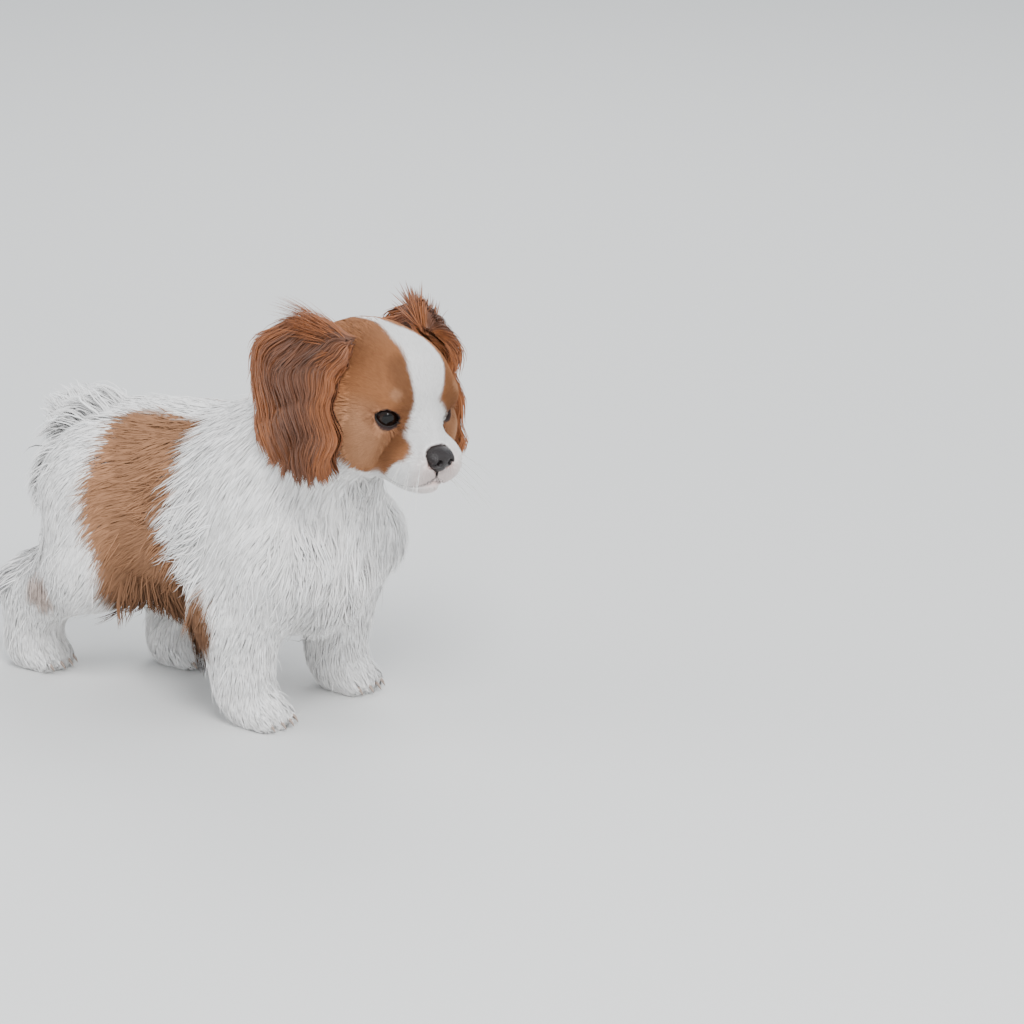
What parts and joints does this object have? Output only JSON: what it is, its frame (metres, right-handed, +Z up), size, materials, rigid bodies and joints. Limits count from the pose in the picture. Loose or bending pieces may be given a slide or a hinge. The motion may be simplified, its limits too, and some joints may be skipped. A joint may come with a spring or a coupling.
{
  "type": "cavalier king charles spaniel puppy, still life-size model",
  "caption": "A small chestnut and white spaniel puppy standing on all fours with long wavy ears and its head turned to its right.",
  "frame": {"origin": "on the floor under the middle of the whole dog", "axes": "+X towards the nose, along the body; +Y towards the dog's left; +Z up"},
  "size_m": [0.3086, 0.1388, 0.2524],
  "materials": {
    "coat_white": "matt",
    "coat_chestnut": "matt",
    "eye": "gloss",
    "nose_leather": "satin"
  },
  "bodies": {
    "root": {"head": "coat_white", "nose": "nose_leather", "neck": "coat_white", "torso": "coat_white", "tail_base": "coat_white", "tail_end": "coat_white", "eye_right": "eye", "ear_right": "coat_chestnut", "foreleg_right": "coat_white", "hindleg_right_thigh": "coat_white", "hindleg_right_shank": "coat_white", "forepaw_right": "coat_white", "hindpaw_right": "coat_white", "eye_left": "eye", "ear_left": "coat_chestnut", "foreleg_left": "coat_white", "hindleg_left_thigh": "coat_white", "hindleg_left_shank": "coat_white", "forepaw_left": "coat_white", "hindpaw_left": "coat_white"}
  },
  "joints": []
}
